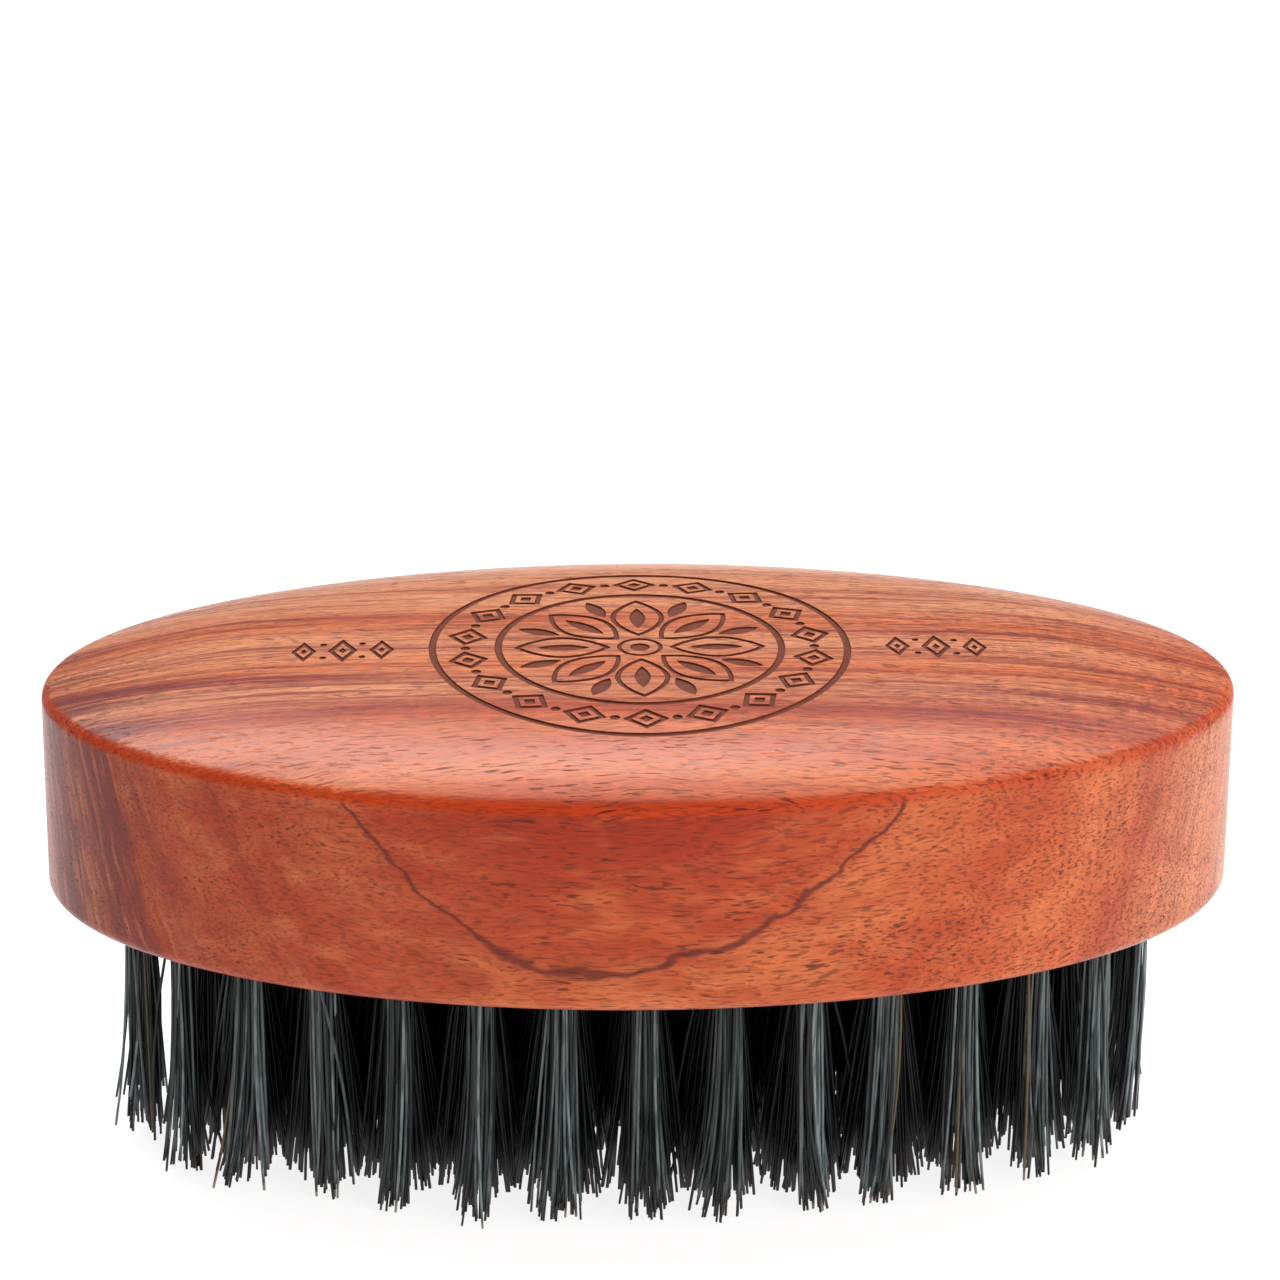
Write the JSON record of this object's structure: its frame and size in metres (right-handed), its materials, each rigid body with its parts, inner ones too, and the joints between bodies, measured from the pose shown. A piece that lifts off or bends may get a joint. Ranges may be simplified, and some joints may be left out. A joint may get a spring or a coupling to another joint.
{
  "type": "beard brush",
  "caption": "Oval wooden beard brush: a palm-sized crowned block with rings of black bristle tufts, each folded over a flat wire anchor in a blind hole, for combing a beard.",
  "frame": {"origin": "centre of the bounding box's bottom face, which is the plane of the trimmed bristle tips that the brush stands on", "axes": "+X along the long axis of the oval, +Y across it, +Z from the bristle tips up to the crowned back"},
  "size_m": [0.12, 0.063, 0.0525],
  "materials": {
    "wood": "satin",
    "bristle": "satin",
    "anchor_wire": "satin"
  },
  "bodies": {
    "root": {"block": "wood", "tuft_outer_01": "bristle", "tuft_outer_02": "bristle", "tuft_outer_03": "bristle", "tuft_outer_04": "bristle", "tuft_outer_05": "bristle", "tuft_outer_06": "bristle", "tuft_outer_07": "bristle", "tuft_outer_08": "bristle", "tuft_outer_09": "bristle", "tuft_outer_10": "bristle", "tuft_outer_11": "bristle", "tuft_outer_12": "bristle", "tuft_outer_13": "bristle", "tuft_outer_14": "bristle", "tuft_outer_15": "bristle", "tuft_outer_16": "bristle", "tuft_outer_17": "bristle", "tuft_outer_18": "bristle", "tuft_outer_19": "bristle", "tuft_outer_20": "bristle", "tuft_outer_21": "bristle", "tuft_outer_22": "bristle", "tuft_outer_23": "bristle", "tuft_outer_24": "bristle", "tuft_outer_25": "bristle", "tuft_outer_26": "bristle", "tuft_outer_27": "bristle", "tuft_outer_28": "bristle", "tuft_outer_29": "bristle", "tuft_outer_30": "bristle", "tufts_inner": "bristle", "anchor_01": "anchor_wire", "anchor_02": "anchor_wire", "anchor_03": "anchor_wire", "anchor_04": "anchor_wire", "anchor_05": "anchor_wire", "anchor_06": "anchor_wire", "anchor_07": "anchor_wire", "anchor_08": "anchor_wire", "anchor_09": "anchor_wire", "anchor_10": "anchor_wire", "anchor_11": "anchor_wire", "anchor_12": "anchor_wire", "anchor_13": "anchor_wire", "anchor_14": "anchor_wire", "anchor_15": "anchor_wire", "anchor_16": "anchor_wire", "anchor_17": "anchor_wire", "anchor_18": "anchor_wire", "anchor_19": "anchor_wire", "anchor_20": "anchor_wire", "anchor_21": "anchor_wire", "anchor_22": "anchor_wire", "anchor_23": "anchor_wire", "anchor_24": "anchor_wire"}
  },
  "joints": []
}
